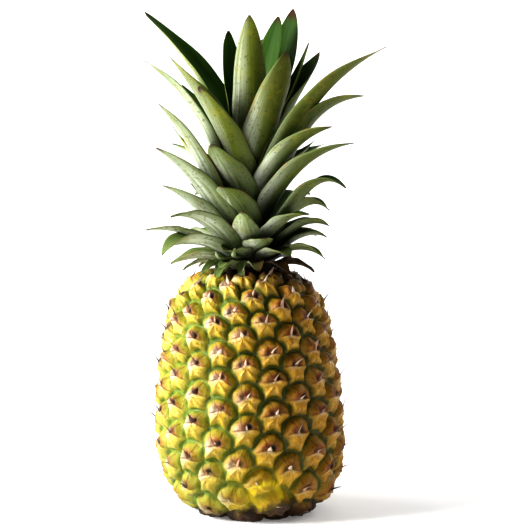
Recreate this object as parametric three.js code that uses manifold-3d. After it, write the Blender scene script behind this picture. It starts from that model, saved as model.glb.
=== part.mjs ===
// A whole pineapple standing on its cut base: the fruit with its spiral of eyes, and a crown of gutter-shaped
// leaves on a short stem. Millimetres, +Z up, origin at the middle of the flat base.
// A bearing is an angle in degrees about Z, 0 towards -Y and growing towards +X.
import * as THREE from "three";
import { ConvexHull } from "three/addons/math/ConvexHull.js";
import { mergeVertices } from "three/addons/utils/BufferGeometryUtils.js";
import Module from "manifold-3d";

const wasm = await Module();
wasm.setup();

// Fruit: the rind between its grooves and its eye tops, as radius and height from the base up
const RIND = [
  [0, -2.6], [22, -2.2], [34, 0.4], [45, 7], [53.5, 17], [59.5, 32], [62, 50], [61.6, 66], [59.6, 88],
  [56.8, 110], [53, 131], [47.5, 146], [38, 157], [25, 163], [0, 165],
];
const EYE_AREA = { low: 486, high: 238, bend: 1.11 }; // mm2 of rind for one eye, at the base and at the crown
const DIVERGENCE = 137.243; // degrees from one eye to the next
const DIVERGENCE_DRIFT = -0.0031; // degrees for each eye squared: the spiral tightens slowly
const FIRST_EYE = { height: 77.3, bearing: -17.9 }; // the eye that the count starts from
const EYE_SLANT = 13; // mm by which the spiral is pushed up on the side of +X at the crown, and down opposite
const EYES_FROM_RADIUS = 25; // nearer the axis than this the rind is plain
const UNEVEN = 0.9; // how far an eye strays from its place, in mm along the rind and in degrees round it
const GROOVE_DEPTH = 2.3;
const EYE_RIM = 0.8;
const RIM_SHARE = { corner: 0.82, side: 0.78 }; // how far out from the middle of its cell the rim lies
const CREST_SHARE = 0.42; // and the crest
const STAR_RIDGE = 0.9; // how far a ridge that runs to a cell's corner stands above the rim
const BRACT_CREST = 2.7; // top of the fleshy bract in the lower half of an eye
const SEPAL_CREST = 1.5; // the flatter upper half
const SPIKE_OUT = 4.6; // dry tip of the bract, off the rind
const SPIKE_UP = 6.4; // and up from the middle of the eye
const SPIKE_HALF = 1.5; // half its width where it leaves the eye
const CROWN_CLEAR = 25; // radius inside which a tip is shortest, so that it clears the crown
const SPIKE_FULL = 14; // how much further out it has its full length

const LEAN = { side: -4.4, full: 150 }; // drift of the fruit's middle along X, and the height where it ends

// Crown: a short stem in a socket in the top of the fruit
const GAP = 0.3; // between the stem and its socket
const CROWN_SIDE = -2.7; // the crown's axis along X
const STEM = [
  // radius and height from the foot up
  [15, 158],
  [19, 166],
  [11, 190],
  [4, 230],
];
const STEM_SIDES = 8;

// Leaves
const MARGIN_THICK = 0.8; // at a leaf's edges
const MIDRIB_THICK = 1.8; // at its root, along the middle
const ROOT_SUNK = 3; // how far inside the stem a leaf's middle line starts
const ROOT_HANDLE = 0.3; // how far the midrib follows its first direction, as a share of the leaf's reach
const TIP_HANDLE = 0.45; // and its last
const LARGE_LEAF = 33; // mm wide: wider leaves get more sides
const FEWEST_RINGS = 2.5; // rings of corners in the lowest leaves
const RING_RISE = 50; // mm of height for each ring more
const ROOT_SHARE = 0.4; // how wide a leaf is at its root, as a share of its full width

// The leaves on the side of -Y, from the heart outward: bearing, height of the root, reach of the tip from
// the axis, height of the tip, rise of the midrib at its root and at its tip in degrees, width, and how far
// the tip is pushed sideways
const LEAVES = [
  [-2, 226, 8, 336, 84, 94, 31, 0],
  [140, 226, 30, 337, 81, 74, 32, 0],
  [-140, 226, 23, 327, 76, 88, 26, 0],
  [140, 222, 46, 343, 67, 77, 37, 0],
  [38, 218, 39, 311, 78, 74, 35, 0],
  [-130, 227, 98, 343, 67, 37, 27, 0],
  [108, 216, 42, 319, 74, 72, 20, 0],
  [-45, 212, 47, 288, 72, 54, 30, 0],
  [114, 218, 52, 313, 74, 60, 39, 0],
  [-60, 210, 60, 307, 74, 48, 32, 0],
  [62, 208, 100, 313, 56, 23, 29, 0],
  [-92, 204, 71, 306, 56, 35, 26, 0],
  [68, 202, 82, 282, 46, 3, 26, 0],
  [-38, 202, 41, 250, 68, 54, 32, 0],
  [-66, 189, 67, 278, 45, 44, 24, 0],
  [50, 205, 70, 262, 60, 12, 26, 0],
  [-102, 196, 54, 262, 62, 58, 20, 0],
  [112, 208, 48, 253, 68, 46, 18, 0],
  [60, 194, 79, 251, 57, 8, 28, 0],
  [-58, 183, 72, 248, 44, 30, 32, 0],
  [-26, 187, 42, 223, 64, 34, 32, 0],
  [70, 181, 68, 221, 41, -40, 24, 0],
  [-112, 190, 44, 223, 60, 44, 15, 0],
  [-64, 177, 64, 223, 38, 22, 31, 0],
  [84, 183, 54, 205, 48, -50, 27, 0],
  [50, 182, 51, 204, 48, 0, 20, 0],
  [-8, 180, 34, 206, 60, 78, 21, 0],
  [-48, 177, 69, 203, 32, -10, 26, 0],
  [100, 179, 55, 194, 32, -26, 24, 0],
  [16, 177, 36, 189, 48, 40, 22, 0],
  [-74, 174, 72, 193, 26, -7, 20, 0],
  [-24, 174, 40, 181, 40, 10, 20, 0],
  [106, 174, 55, 186, 26, -26, 22, 0],
  [76, 173, 52, 173, 33, -45, 18, 0],
  [38, 172, 43, 177, 36, -20, 19, 0],
  [-60, 173, 67, 177, 35, -54, 26, 0],
  [-88, 170, 54, 169, 26, -22, 27, 0],
  [-80, 173, 57, 181, 42, -18, 20, 0],
];
// The leaves behind, in tiers: bearings, then as above
const TIERS = [
  [[165, 212], 222, 33, 322, 80, 72, 25, 0],
  [[148, 184, 230], 208, 62, 291, 72, 46, 25, 0],
  [[128, 160, 206, 236], 196, 66, 250, 62, 16, 24, 0],
  [[136, 178, 220], 186, 60, 214, 50, -18, 20, 0],
  [[122, 158, 198, 238], 177, 54, 186, 36, -30, 18, 0],
];
// The short leaves of the collar
const COLLAR = { count: 11, first: 8, root: 168, reach: 42, tip: 167, launch: 22, finish: -42, width: 11 };

const radians = THREE.MathUtils.degToRad;
const wobble = (n, pitch) => Math.sin(n * pitch); // a fixed, irregular-looking swing between -1 and 1

function interpolate(x, xs, ys) {
  let i = 1;
  while (i < xs.length - 1 && xs[i] < x) i += 1;
  const share = THREE.MathUtils.clamp((x - xs[i - 1]) / (xs[i] - xs[i - 1]), 0, 1);
  return ys[i - 1] + share * (ys[i] - ys[i - 1]);
}

// A closed geometry as a manifold-3d solid.
function solidOf(geometry) {
  const bare = geometry.index ? geometry.toNonIndexed() : geometry.clone();
  bare.deleteAttribute("normal");
  bare.deleteAttribute("uv");
  const merged = mergeVertices(bare, 1e-4);
  return new wasm.Manifold(
    new wasm.Mesh({
      numProp: 3,
      vertProperties: merged.attributes.position.array,
      triVerts: new Uint32Array(merged.index.array),
    }),
  );
}

function geometryOf(solid) {
  const mesh = solid.getMesh();
  const positions = new Float32Array(mesh.numVert * 3);
  for (let i = 0; i < mesh.numVert; i += 1) {
    positions.set(mesh.vertProperties.subarray(i * mesh.numProp, i * mesh.numProp + 3), i * 3);
  }
  return new THREE.BufferGeometry()
    .setAttribute("position", new THREE.BufferAttribute(positions, 3))
    .setIndex(new THREE.BufferAttribute(mesh.triVerts, 1));
}

// The solid without loose scraps and with its closed-off pockets filled.
const largestBody = (solid) => solid.decompose().sort((a, b) => b.volume() - a.volume())[0];

function geometryOfTriangles(triangles) {
  const positions = new Float32Array(triangles.flatMap((corner) => corner.toArray()));
  return new THREE.BufferGeometry().setAttribute("position", new THREE.BufferAttribute(positions, 3));
}

// The rind's meridian, walked from the base to the crown: length, radius, height, the outward normal, the
// count of eyes below, and the latitude of the sphere that the rind maps to without shearing (so that a
// convex hull on it joins each eye to its true neighbours).
function walkMeridian() {
  const steps = 900;
  const knots = RIND.map(([r, z]) => new THREE.Vector3(r, 0, z));
  const points = new THREE.CatmullRomCurve3(knots, false, "centripetal").getPoints(steps);
  const walk = { s: [0], r: [], z: [], normal: [], eyes: [0], stretch: [0] };
  points.forEach((point, i) => {
    const before = points[Math.max(i - 1, 0)];
    const after = points[Math.min(i + 1, steps)];
    const along = after.clone().sub(before).normalize();
    walk.r.push(Math.max(point.x, 0));
    walk.z.push(point.z);
    walk.normal.push([along.z, -along.x]);
    if (i === 0) return;
    const step = point.distanceTo(before);
    const s = walk.s[i - 1] + step;
    const radius = Math.max((point.x + before.x) / 2, 0.2);
    const share = Math.max(point.z, 0) / RIND[RIND.length - 1][1];
    const area = EYE_AREA.low + (EYE_AREA.high - EYE_AREA.low) * share ** EYE_AREA.bend;
    walk.s.push(s);
    walk.eyes.push(walk.eyes[i - 1] + (2 * Math.PI * radius * step) / area);
    walk.stretch.push(walk.stretch[i - 1] + step / radius);
  });
  const middle = walk.stretch[Math.round(steps / 2)];
  walk.latitude = walk.stretch.map((u) => 2 * Math.atan(Math.exp(u - middle)) - Math.PI / 2);
  return walk;
}
const meridian = walkMeridian();

// The sphere point of a place on the rind, and the rind's point and normal of a place on the sphere.
function toSphere(bearing, s) {
  const latitude = interpolate(s, meridian.s, meridian.latitude);
  return new THREE.Vector3(
    Math.cos(latitude) * Math.sin(bearing),
    -Math.cos(latitude) * Math.cos(bearing),
    Math.sin(latitude),
  );
}

function onRind(direction, height) {
  const unit = direction.clone().normalize();
  const latitude = Math.asin(THREE.MathUtils.clamp(unit.z, -1, 1));
  const bearing = Math.atan2(unit.x, -unit.y);
  const s = interpolate(latitude, meridian.latitude, meridian.s);
  const r = interpolate(s, meridian.s, meridian.r);
  const z = interpolate(s, meridian.s, meridian.z);
  const i = THREE.MathUtils.clamp(meridian.s.findIndex((length) => length >= s), 0, meridian.s.length - 1);
  const [outward, upward] = meridian.normal[i];
  const radius = r + height * outward;
  const rest = Math.max(0, 1 - Math.max(z, 0) / LEAN.full);
  const side = LEAN.side * (1 - rest * rest);
  const x = radius * Math.sin(bearing) + side;
  return new THREE.Vector3(x, -radius * Math.cos(bearing), z + height * upward);
}

// Where the eyes sit: one each DIVERGENCE degrees round, as high as the rind area of the eyes below it gives.
function eyeCentres() {
  const lengthAtHeight = (z) => meridian.s[meridian.z.findIndex((height) => height >= z)];
  const first = interpolate(lengthAtHeight(FIRST_EYE.height), meridian.s, meridian.eyes);
  const total = meridian.eyes[meridian.eyes.length - 1];
  const centres = [];
  for (let n = -Math.floor(first); n < total - first; n += 1) {
    const spiral = FIRST_EYE.bearing + DIVERGENCE * n + DIVERGENCE_DRIFT * n * n;
    const bearing = radians(spiral + UNEVEN * wobble(n, 2.3));
    const level = interpolate(first + n, meridian.eyes, meridian.s);
    const share = Math.max(interpolate(level, meridian.s, meridian.z), 0) / RIND[RIND.length - 1][1];
    const s = level + EYE_SLANT * Math.sin(bearing) * share + UNEVEN * wobble(n, 3.7);
    if (interpolate(s, meridian.s, meridian.r) < EYES_FROM_RADIUS) continue;
    centres.push(toSphere(bearing, s));
  }
  return centres;
}

// One eye: its cell's corners and edge middles lie in the grooves, a rim stands inside them with a ridge to
// each corner, the lower half rises to the fleshy bract and the middle is drawn out to the bract's dry tip.
function eyeTriangles(centre, corners) {
  const sides = corners.length;
  const middle = onRind(centre, 0);
  const north = onRind(centre.clone().add(new THREE.Vector3(0, 0, 0.01)), 0).sub(middle).normalize();
  const outward = onRind(centre, 1).sub(middle);
  const east = new THREE.Vector3().crossVectors(north, outward);
  const at = (direction, share, height) => onRind(centre.clone().lerp(direction, share), height);
  const isLow = (direction) => onRind(direction, 0).sub(middle).dot(north) < 0;
  const groove = [];
  const rim = [];
  const crest = [];
  corners.forEach((corner, i) => {
    const halfway = corner.clone().add(corners[(i + 1) % sides]).normalize();
    const low = isLow(corner);
    groove.push(onRind(corner, -GROOVE_DEPTH), onRind(halfway, -GROOVE_DEPTH));
    rim.push(at(corner, RIM_SHARE.corner, EYE_RIM + (low ? STAR_RIDGE : 0)));
    rim.push(at(halfway, RIM_SHARE.side, EYE_RIM));
    crest.push(at(corner, CREST_SHARE, low ? BRACT_CREST : SEPAL_CREST));
  });
  const foot = [[0, -1.5], [1, 0.7], [-1, 0.7]].map(([across, up]) =>
    middle
      .clone()
      .addScaledVector(east, across * SPIKE_HALF)
      .addScaledVector(north, up * SPIKE_HALF)
      .addScaledVector(outward, BRACT_CREST - 0.3),
  );
  const room = THREE.MathUtils.clamp((Math.hypot(middle.x, middle.y) - CROWN_CLEAR) / SPIKE_FULL, 0.3, 1);
  const tip = middle.clone().addScaledVector(outward, SPIKE_OUT).addScaledVector(north, SPIKE_UP * room);
  const triangles = [];
  for (let i = 0; i < 2 * sides; i += 1) {
    const j = (i + 1) % (2 * sides);
    triangles.push(groove[i], groove[j], rim[i], rim[i], groove[j], rim[j]);
  }
  for (let i = 0; i < sides; i += 1) {
    const j = (i + 1) % sides;
    triangles.push(rim[2 * i], rim[2 * i + 1], crest[i]);
    triangles.push(crest[i], rim[2 * i + 1], crest[j]);
    triangles.push(crest[j], rim[2 * i + 1], rim[2 * j]);
  }
  joinRings(triangles, crest, foot);
  foot.forEach((point, i) => triangles.push(point, foot[(i + 1) % foot.length], tip));
  return triangles;
}

// Fills the band between the crest ring and the foot of the tip, both anticlockwise seen from outside. Each
// crest point joins the nearest foot point, and each step from one foot point to the next adds a triangle.
function joinRings(triangles, crest, foot) {
  const nearest = crest.map((point) => {
    const distances = foot.map((other) => other.distanceTo(point));
    return distances.indexOf(Math.min(...distances));
  });
  crest.forEach((point, i) => {
    const j = (i + 1) % crest.length;
    triangles.push(point, crest[j], foot[nearest[i]]);
    for (let k = nearest[i]; k !== nearest[j]; k = (k + 1) % foot.length) {
      triangles.push(crest[j], foot[(k + 1) % foot.length], foot[k]);
    }
  });
}

// The rind near the axis, under the fruit and at its top, has no eyes.
function plainTriangles(centre, corners) {
  const middle = onRind(centre, 0);
  return corners.flatMap((corner, i) => {
    const next = corners[(i + 1) % corners.length];
    const halfway = corner.clone().add(next).normalize();
    const [a, b, c] = [corner, halfway, next].map((direction) => onRind(direction, -GROOVE_DEPTH));
    return [a, b, middle, b, c, middle];
  });
}

// The corners of each eye's cell are the middles of the hull's triangles round it.
function fruitSolid() {
  const centres = eyeCentres();
  const poles = [new THREE.Vector3(0, 0, -1), new THREE.Vector3(0, 0, 1)];
  const points = [...centres, ...poles];
  const hull = new ConvexHull().setFromPoints(points);
  const cells = new Map(points.map((point) => [point, []]));
  hull.faces.forEach((face) => {
    const trio = [face.edge, face.edge.next, face.edge.next.next].map((edge) => edge.head().point);
    const corner = trio[0].clone().add(trio[1]).add(trio[2]).normalize();
    trio.forEach((point) => cells.get(point).push(corner));
  });
  const triangles = [];
  cells.forEach((corners, centre) => {
    const pole = poles.includes(centre);
    const up = pole ? new THREE.Vector3(0, 1, 0) : new THREE.Vector3(0, 0, 1);
    const east = new THREE.Vector3().crossVectors(up, centre).normalize();
    const north = new THREE.Vector3().crossVectors(centre, east);
    const angle = (corner) => Math.atan2(corner.dot(north), corner.dot(east));
    corners.sort((a, b) => angle(a) - angle(b));
    triangles.push(...(pole ? plainTriangles : eyeTriangles)(centre, corners));
  });
  return solidOf(geometryOfTriangles(triangles)).trimByPlane([0, 0, 1], 0);
}

// The crown's stem, or with a gap the socket that it stands in.
function stemSolid(gap) {
  const foot = STEM[0][1] - gap;
  const top = STEM[STEM.length - 1][1] + 2 * gap;
  const wall = STEM.map(([r, z], i) => new THREE.Vector2(r + gap, i === 0 ? foot : z));
  const outline = [new THREE.Vector2(0, foot), ...wall, new THREE.Vector2(0, top)];
  return solidOf(new THREE.LatheGeometry(outline, STEM_SIDES).rotateX(Math.PI / 2));
}

function stemRadiusAt(height) {
  return interpolate(height, STEM.map(([, z]) => z), STEM.map(([r]) => r));
}

// A leaf: a gutter swept along a midrib that rises from the stem and leans out to its tip, widest a third of
// the way along and blunt before its point, its two sides curling up round the stem at the root and more
// tightly further out.
function leafSolid([bearing, root, reach, tip, launch, finish, width, sway]) {
  const across = width > LARGE_LEAF ? 5 : 3;
  const stations = Math.round(FEWEST_RINGS + (tip - root) / RING_RISE);
  const rootRadius = stemRadiusAt(root);
  const start = new THREE.Vector2(rootRadius - ROOT_SUNK, root);
  const end = new THREE.Vector2(reach, tip);
  const span = start.distanceTo(end);
  const heading = (degrees) => new THREE.Vector2(Math.cos(radians(degrees)), Math.sin(radians(degrees)));
  const midrib = new THREE.CubicBezierCurve(
    start,
    start.clone().addScaledVector(heading(launch), span * ROOT_HANDLE),
    end.clone().addScaledVector(heading(finish), -span * TIP_HANDLE),
    end,
  );
  const turn = new THREE.Matrix4().makeRotationZ(radians(bearing - 90));
  const rings = [];
  for (let k = 0; k < stations; k += 1) {
    const t = k / stations;
    const centre = midrib.getPoint(t);
    const along = midrib.getTangent(t);
    const fullness = ROOT_SHARE + (1 - ROOT_SHARE) * Math.sin(Math.PI * Math.min(t * 1.4, 0.5));
    const half = (width / 2) * (1 - t ** 4) ** 0.8 * fullness;
    const curl = THREE.MathUtils.lerp(rootRadius + 3, width * 0.45, t ** 0.6);
    const bend = Math.min(half / curl, 1.15);
    const inner = [];
    const outer = [];
    for (let i = 0; i < across; i += 1) {
      const share = (2 * i) / (across - 1) - 1;
      const lateral = (half / bend) * Math.sin(share * bend);
      const lift = (half / bend) * (1 - Math.cos(share * bend));
      const thick = THREE.MathUtils.lerp(MARGIN_THICK, MIDRIB_THICK * (1 - 0.5 * t), 1 - Math.abs(share));
      const place = (offset) =>
        new THREE.Vector3(centre.x - along.y * offset, lateral + sway * t * t, centre.y + along.x * offset);
      inner.push(place(lift).applyMatrix4(turn));
      outer.unshift(place(lift - thick).applyMatrix4(turn));
    }
    rings.push([...inner, ...outer]);
  }
  const point = new THREE.Vector3(end.x, sway, end.y).applyMatrix4(turn);
  return solidOf(geometryOfTriangles(loftTriangles(rings, point)));
}

// Joins rings of equal count into a skin, capped flat at the first ring and drawn to a point after the last.
function loftTriangles(rings, point) {
  const count = rings[0].length;
  const half = count / 2;
  const triangles = [];
  rings.slice(1).forEach((ring, k) => {
    const before = rings[k];
    ring.forEach((corner, i) => {
      const j = (i + 1) % count;
      triangles.push(before[i], corner, before[j], before[j], corner, ring[j]);
    });
  });
  const root = rings[0];
  for (let i = 0; i < half - 1; i += 1) {
    const far = count - 1 - i;
    triangles.push(root[i], root[i + 1], root[far], root[i + 1], root[far - 1], root[far]);
  }
  const last = rings[rings.length - 1];
  last.forEach((corner, i) => triangles.push(corner, point, last[(i + 1) % count]));
  return triangles;
}

function collarRows() {
  return Array.from({ length: COLLAR.count }, (_, i) => [
    COLLAR.first + (360 / COLLAR.count) * i + 5 * wobble(i, 2.9),
    COLLAR.root + 1.5 * wobble(i, 1.7),
    COLLAR.reach + 4 * wobble(i, 4.1),
    COLLAR.tip + 3 * wobble(i, 5.3),
    COLLAR.launch,
    COLLAR.finish,
    COLLAR.width,
    0,
  ]);
}

// The stem with every leaf grown on it.
function crownSolid() {
  const behind = TIERS.flatMap(([bearings, ...rest]) => bearings.map((bearing) => [bearing, ...rest]));
  const leaves = [...LEAVES, ...behind, ...collarRows()].map(leafSolid);
  return largestBody(leaves.reduce((all, leaf) => all.add(leaf), stemSolid(0)));
}

const group = new THREE.Group();
function addPiece(name, solid, colour, roughness) {
  const mesh = new THREE.Mesh(
    geometryOf(solid),
    new THREE.MeshStandardMaterial({ color: colour, roughness, metalness: 0 }),
  );
  mesh.name = name;
  group.add(mesh);
  return mesh;
}
const socket = stemSolid(GAP).translate([CROWN_SIDE, 0, 0]);
addPiece("fruit", largestBody(fruitSolid().subtract(socket)), 0xc9a52c, 0.55);
addPiece("crown", crownSolid(), 0x6f8a52, 0.5).position.set(CROWN_SIDE, 0, 0);

export default group;
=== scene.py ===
"""A whole pineapple on a pale floor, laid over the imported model: a fine rind of spiralling eyes and
a crown of gutter-shaped leaves."""

import bmesh
import bpy
import numpy as np
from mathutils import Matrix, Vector


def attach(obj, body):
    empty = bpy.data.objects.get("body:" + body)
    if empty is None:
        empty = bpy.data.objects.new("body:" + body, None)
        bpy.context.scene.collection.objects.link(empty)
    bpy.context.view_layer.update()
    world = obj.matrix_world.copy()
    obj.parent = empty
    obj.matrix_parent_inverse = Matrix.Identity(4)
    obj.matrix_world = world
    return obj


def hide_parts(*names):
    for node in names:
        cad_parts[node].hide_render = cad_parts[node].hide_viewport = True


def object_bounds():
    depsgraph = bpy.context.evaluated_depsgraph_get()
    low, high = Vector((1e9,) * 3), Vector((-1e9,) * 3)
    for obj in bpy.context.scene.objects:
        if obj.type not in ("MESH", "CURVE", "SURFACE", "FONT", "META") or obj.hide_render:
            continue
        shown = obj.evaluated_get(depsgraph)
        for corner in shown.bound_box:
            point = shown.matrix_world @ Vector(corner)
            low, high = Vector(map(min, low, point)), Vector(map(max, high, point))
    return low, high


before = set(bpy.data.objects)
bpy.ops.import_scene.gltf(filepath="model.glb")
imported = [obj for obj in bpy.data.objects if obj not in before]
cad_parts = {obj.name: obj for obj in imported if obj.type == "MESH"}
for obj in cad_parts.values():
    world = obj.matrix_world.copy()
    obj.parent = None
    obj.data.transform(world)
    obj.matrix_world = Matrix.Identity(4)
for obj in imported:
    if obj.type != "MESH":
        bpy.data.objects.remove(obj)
cad_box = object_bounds()

MM = 0.001
BODY = "root"
rng = np.random.default_rng(20)
PACKED_BOX = np.array(cad_box) / MM

# The fruit's driving dimensions in millimetres and degrees, as in the part's source
RIND = np.array(  # radius and height
    [(0, -2.6), (22, -2.2), (34, 0.4), (45, 7), (53.5, 17), (59.5, 32), (62, 50), (61.6, 66),
     (59.6, 88), (56.8, 110), (53, 131), (47.5, 146), (38, 157), (25, 163), (0, 165)], float)
EYE_AREA_LOW, EYE_AREA_HIGH, EYE_AREA_BEND = 486, 238, 1.11  # rind for one eye, in mm2
DIVERGENCE, DIVERGENCE_DRIFT = 137.243, -0.0031  # from one eye to the next, and the spiral's drift
FIRST_EYE_HEIGHT, FIRST_EYE_BEARING = 77.3, -17.9  # bearings run from -Y towards +X
EYE_SLANT = 13  # how far the spiral is pushed up on the side of +X at the crown
EYES_FROM_RADIUS = 25  # nearer the axis the rind is plain
UNEVEN = 0.9  # how far an eye strays from its place
LEAN_SIDE, LEAN_FULL = -4.4, 150  # drift of the fruit's middle along X, and where it ends

# Relief of an eye, in millimetres
GROOVE = 2.2  # depth of the groove round it
RIM = 0.9  # the pillow that it stands on
BRACT = 2.0  # the fleshy bract, highest along its lip
PLEAT = 1.3  # ridges that run to the cell's lower corners
SEPALS = 2.5  # the rounded upper half
PIT = 2.4  # the hollows beside the dry tip
LUMP = 0.5  # the flesh's unevenness
ROUNDING = 0.24  # how much sooner the groove starts at an eye's upper corners
STAR = 0.2  # and between its lower corners, so that the bract is a star
WANDER = 0.55  # how far slow waves push the grooves aside
TIPS_FROM_HEIGHT = 5  # the eyes under the base keep no dry tip
RINGS, EDGE_STEPS = 15, 6  # the grid of a cell: rings from its middle, steps along each side
DOME_POWER = 5.5  # how late an eye's dome falls
LEAFY_CORNER, LEAFY_SIDE = 0.13, 0.18  # how much sooner its upper corners and low sides are green
LEAST_RADIUS = 0.2  # of the rind, near the axis
TURN_BY = 0.01  # step on the sphere that gives an eye's directions
MERGE_NEARER_THAN, DISSOLVE_SHORTER_THAN = 0.00002, 0.000005  # in metres

# Dry tips, in millimetres: pairs hold the least, and how much more the luckiest has
TIP_LENGTH, TIP_LIFT, TIP_HALF = (5.5, 6.5), (2.5, 5.0), (0.9, 1.2)
TIP_SWING, TIP_TWIST = 6.0, 1.4  # sideways drift of its point, and turn of its section in radians
TIP_CROWN_CLEAR, TIP_FULL_LATER = 25, 14  # shortest inside this radius, full so much further out
TIP_LONGER_AT_SIDES = 0.45
TIP_STANDS_OFF, TIP_ROOT_RISE = 2.0, 0.6  # where it leaves its eye
TIP_WALL, TIP_ARCH = 0.28, 0.55
TIP_ROWS, TIP_COLUMNS = 9, 5

# The crown's driving dimensions, in millimetres
CROWN_SIDE = -2.7  # its axis along X
STEM = np.array([(15, 158), (19, 166), (11, 190), (4, 230)], float)  # radius and height
MARGIN_THICK, MIDRIB_THICK = 0.8, 1.8
ROOT_SUNK = 3  # how far inside the stem a leaf starts
ROOT_HANDLE, TIP_HANDLE = 0.3, 0.45  # of its midrib's curve, as shares of its reach
STATIONS, ACROSS = 46, 13  # points along a leaf and across it
ROOT_FULLNESS = 0.62  # of the full width
POINT_HALF = 0.65  # half the width left at a leaf's point
MOST_BEND = 1.15  # half the angle that a section bends through
RIPPLE, RIPPLE_WAVES, ROLL = 0.35, 19, 0.16
YOUNG_FROM, AGES_OVER = 235, 65  # root height of the youngest, and how far below the oldest are
STEM_RINGS, STEM_SIDES, STEM_SWELL = 60, 48, 0.25

# Leaves: bearing, root height, reach and height of the tip, rise at root and tip, width, and
# sideways push of the tip
HEART = [
    (-2, 226, 8, 336, 84, 94, 31, 0), (140, 226, 30, 337, 81, 74, 32, 0),
    (-140, 226, 23, 327, 76, 88, 26, 0), (140, 222, 46, 343, 67, 77, 37, 0),
    (38, 218, 39, 311, 78, 74, 35, 0), (-130, 227, 98, 343, 67, 37, 27, 0),
    (108, 216, 42, 319, 74, 72, 20, 0), (-45, 212, 47, 288, 72, 54, 30, 0),
    (114, 218, 52, 313, 74, 60, 39, 0), (-60, 210, 60, 307, 74, 48, 32, 0),
    (62, 208, 100, 313, 56, 23, 29, 0),
]
MIDDLE = [
    (-92, 204, 71, 306, 56, 35, 26, 0), (68, 202, 82, 282, 46, 3, 26, 0),
    (-38, 202, 41, 250, 68, 54, 32, 0), (-66, 189, 67, 278, 45, 44, 24, 0),
    (50, 205, 70, 262, 60, 12, 26, 0), (-102, 196, 54, 262, 62, 58, 20, 0),
    (112, 208, 48, 253, 68, 46, 18, 0), (60, 194, 79, 251, 57, 8, 28, 0),
    (-58, 183, 72, 248, 44, 30, 32, 0), (-26, 187, 42, 223, 64, 34, 32, 0),
    (70, 181, 68, 221, 41, -40, 24, 0), (-112, 190, 44, 223, 60, 44, 15, 0),
]
LOWER = [
    (-64, 177, 64, 223, 38, 22, 31, 0), (84, 183, 54, 205, 48, -50, 27, 0),
    (50, 182, 51, 204, 48, 0, 20, 0), (-8, 180, 34, 206, 60, 78, 21, 0),
    (-48, 177, 69, 203, 32, -10, 26, 0), (100, 179, 55, 194, 32, -26, 24, 0),
    (16, 177, 36, 189, 48, 40, 22, 0), (-74, 174, 72, 193, 26, -7, 20, 0),
    (-24, 174, 40, 181, 40, 10, 20, 0), (106, 174, 55, 186, 26, -26, 22, 0),
    (76, 173, 52, 173, 33, -45, 18, 0), (38, 172, 43, 177, 36, -20, 19, 0),
    (-60, 173, 67, 177, 35, -54, 26, 0), (-88, 170, 54, 169, 26, -22, 27, 0),
    (-80, 173, 57, 181, 42, -18, 20, 0),
]
TIERS = [
    ((165, 212), 222, 33, 322, 80, 72, 25, 0),
    ((148, 184, 230), 208, 62, 291, 72, 46, 25, 0),
    ((128, 160, 206, 236), 196, 66, 250, 62, 16, 24, 0),
    ((136, 178, 220), 186, 60, 214, 50, -18, 20, 0),
    ((122, 158, 198, 238), 177, 54, 186, 36, -30, 18, 0),
]
BACK = [(bearing, *rest) for bearings, *rest in TIERS for bearing in bearings]
COLLAR_COUNT = 11
COLLAR = (8, 168, 42, 167, 22, -42, 11)  # the same, for the first of them, without the push
CURLS = [
    (-54, 170, 39, 162, 36, -56, 9, -3), (-41, 169, 37, 161, 30, -60, 10, 3),
    (-30, 170, 35, 162, 40, -62, 8, -4), (-14, 171, 33, 163, 45, -60, 6, 2),
    (-24, 172, 35, 182, 80, 100, 3, 5), (-33, 172, 37, 180, 76, 96, 3, -3),
]

# Marks of this fruit, in metres
BRUISE = (0.008, -0.058, 0.019)
LOW_DARK_PATCH = (0.019, -0.046, 0.002)

# Camera, light and floor
PHOTO_SIDE = 524
MM_PER_PIXEL = 0.68
CAMERA_DISTANCE = 1.15
CAMERA_ELEVATION = np.radians(4.5)
AIM = Vector((0.0054, 0, 0.170))
SENSOR = 36
EXPOSURE_GAIN = 1.25
EULER = 2.718
LAMPS = (  # name, place, side, power, aim
    ("key", (-1.35, -0.5, 0.75), 0.6, 34),
    ("fill", (1.3, -1.4, 0.6), 1.6, 1.2),
    ("backdrop_left", (-1.7, 0.9, 1.3), 1.2, 17, (0.3, 2.2, 0.4)),
    ("backdrop_right", (1.7, 0.9, 1.3), 1.2, 17, (-0.3, 2.2, 0.4)),
)
WORLD_STRENGTH = 0.16
FLOOR_DEPTH, FLOOR_RISE, FLOOR_BEND, FLOOR_HALF, FLOOR_STEPS = 2.2, 2.6, 0.7, 3.0, 16


def wobble(n, pitch):
    """A fixed, irregular-looking swing between -1 and 1: the sine of a count times a pitch."""
    return np.sin(n * pitch)


def smooth(low, high, x):
    """0 below low, 1 above high, and 3t^2 - 2t^3 between."""
    t = np.clip((x - low) / (high - low), 0, 1)
    return t * t * (3 - 2 * t)


def hump(x, middle, width):
    """exp of minus the square of the distance from the middle in widths."""
    return np.exp(-(((x - middle) / width) ** 2))


# Meshes


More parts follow.
